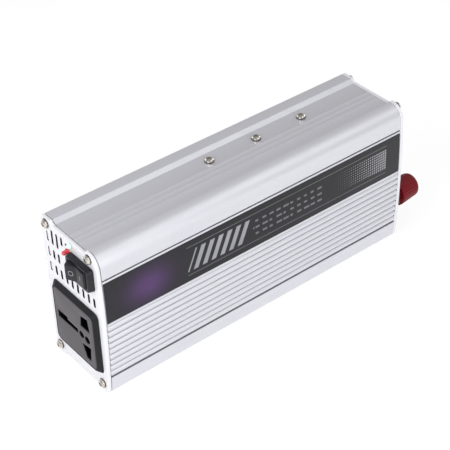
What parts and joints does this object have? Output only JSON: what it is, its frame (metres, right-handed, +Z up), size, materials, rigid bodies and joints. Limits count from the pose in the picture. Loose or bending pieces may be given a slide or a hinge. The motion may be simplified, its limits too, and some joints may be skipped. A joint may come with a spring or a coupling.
{
  "type": "power inverter",
  "caption": "Power inverter in a finned aluminium case with end plates, a universal outlet, a rocker switch, lamps, vents, a fan and screw terminals.",
  "frame": {"origin": "middle of the bounding box's footprint, at the height of the surface that it stands on", "axes": "+X along the case from the outlet end to the battery end, -Y the finned front with the label, +Z up"},
  "size_m": [0.2896, 0.0614, 0.1113],
  "materials": {
    "case_metal": "satin silver white",
    "plate_metal": "satin white",
    "label": "satin printed film",
    "screw_steel": "nickel plated",
    "terminal_brass": "machined",
    "outlet_shell": "moulded",
    "outlet_face": "fine grain",
    "switch_plastic": "moulded",
    "red_plastic": "moulded",
    "black_plastic": "moulded",
    "red_lens": "clear",
    "pale_lens": "clear",
    "fan_plastic": "moulded",
    "board": "solder mask",
    "bare_aluminium": "extruded",
    "ferrite": "matt",
    "winding": "enamelled copper",
    "sleeve": "shrink sleeve",
    "fuse_body": "moulded",
    "package": "moulded"
  },
  "bodies": {
    "case": {"main_housing": "case_metal", "back_cover": "case_metal", "ac_end_plate": "plate_metal", "dc_end_plate": "plate_metal", "label_plate": "label", "ac_plate_screw_1": "screw_steel", "ac_plate_screw_2": "screw_steel", "ac_plate_screw_3": "screw_steel", "ac_plate_screw_4": "screw_steel", "dc_plate_screw_1": "screw_steel", "dc_plate_screw_2": "screw_steel", "dc_plate_screw_3": "screw_steel", "dc_plate_screw_4": "screw_steel", "socket_housing": "outlet_shell", "socket_face": "outlet_face", "socket_contact_line": "terminal_brass", "socket_contact_neutral": "terminal_brass", "socket_contact_earth": "terminal_brass", "switch_bezel": "switch_plastic", "fault_lamp": "red_lens", "power_lamp": "pale_lens", "red_terminal_collar": "red_plastic", "red_terminal_stud": "terminal_brass", "red_terminal_nut": "screw_steel", "red_battery_lead": "red_plastic", "black_terminal_collar": "black_plastic", "black_terminal_stud": "terminal_brass", "black_terminal_nut": "screw_steel", "black_battery_lead": "black_plastic", "fan_frame": "fan_plastic", "fan_screw_1": "screw_steel", "fan_screw_2": "screw_steel", "fan_screw_3": "screw_steel", "fan_screw_4": "screw_steel", "circuit_board": "board", "clamp_bar": "bare_aluminium", "clamp_screw_1": "screw_steel", "clamp_screw_2": "screw_steel", "clamp_screw_3": "screw_steel", "power_transistor_1": "package", "power_transistor_2": "package", "power_transistor_3": "package", "power_transistor_4": "package", "transformer_core_1": "ferrite", "transformer_core_2": "ferrite", "transformer_coil_1": "winding", "transformer_coil_2": "winding", "capacitor_1": "sleeve", "capacitor_2": "sleeve", "choke": "winding", "fuse_1": "fuse_body", "fuse_2": "fuse_body", "board_heatsink": "bare_aluminium"},
    "rocker": {"switch_rocker": "switch_plastic"},
    "fan": {"fan_rotor": "fan_plastic"},
    "red_washer": {"red_terminal_washer": "screw_steel"},
    "red_knob": {"red_terminal_knob": "red_plastic"},
    "black_washer": {"black_terminal_washer": "screw_steel"},
    "black_knob": {"black_terminal_knob": "black_plastic"}
  },
  "joints": [
    {"name": "rocker_tilt", "type": "hinge", "parent": "case", "child": "rocker", "pos_m": [-0.13825, -0.0133, 0.09294], "axis": [0, 0, -1], "range_deg": [0, 22]},
    {"name": "fan_spin", "type": "hinge", "parent": "case", "child": "fan", "pos_m": [0.109, 0.0007, 0.076], "axis": [1, 0, 0], "continuous": true},
    {"name": "red_washer_slide", "type": "slide", "parent": "case", "child": "red_washer", "axis": [1, 0, 0], "range_m": [0, 0.004]},
    {"name": "red_knob_turn", "type": "hinge", "parent": "red_washer", "child": "red_knob", "pos_m": [0.136, -0.0173, 0.028], "axis": [1, 0, 0], "range_deg": [0, 1440]},
    {"name": "black_washer_slide", "type": "slide", "parent": "case", "child": "black_washer", "axis": [1, 0, 0], "range_m": [0, 0.004]},
    {"name": "black_knob_turn", "type": "hinge", "parent": "black_washer", "child": "black_knob", "pos_m": [0.136, 0.0187, 0.028], "axis": [1, 0, 0], "range_deg": [0, 1440]}
  ],
  "couplings": [
    {"joint": "red_washer_slide", "follows": "red_knob_turn", "m_per_rad": 0.000159},
    {"joint": "black_washer_slide", "follows": "black_knob_turn", "m_per_rad": 0.000159}
  ]
}
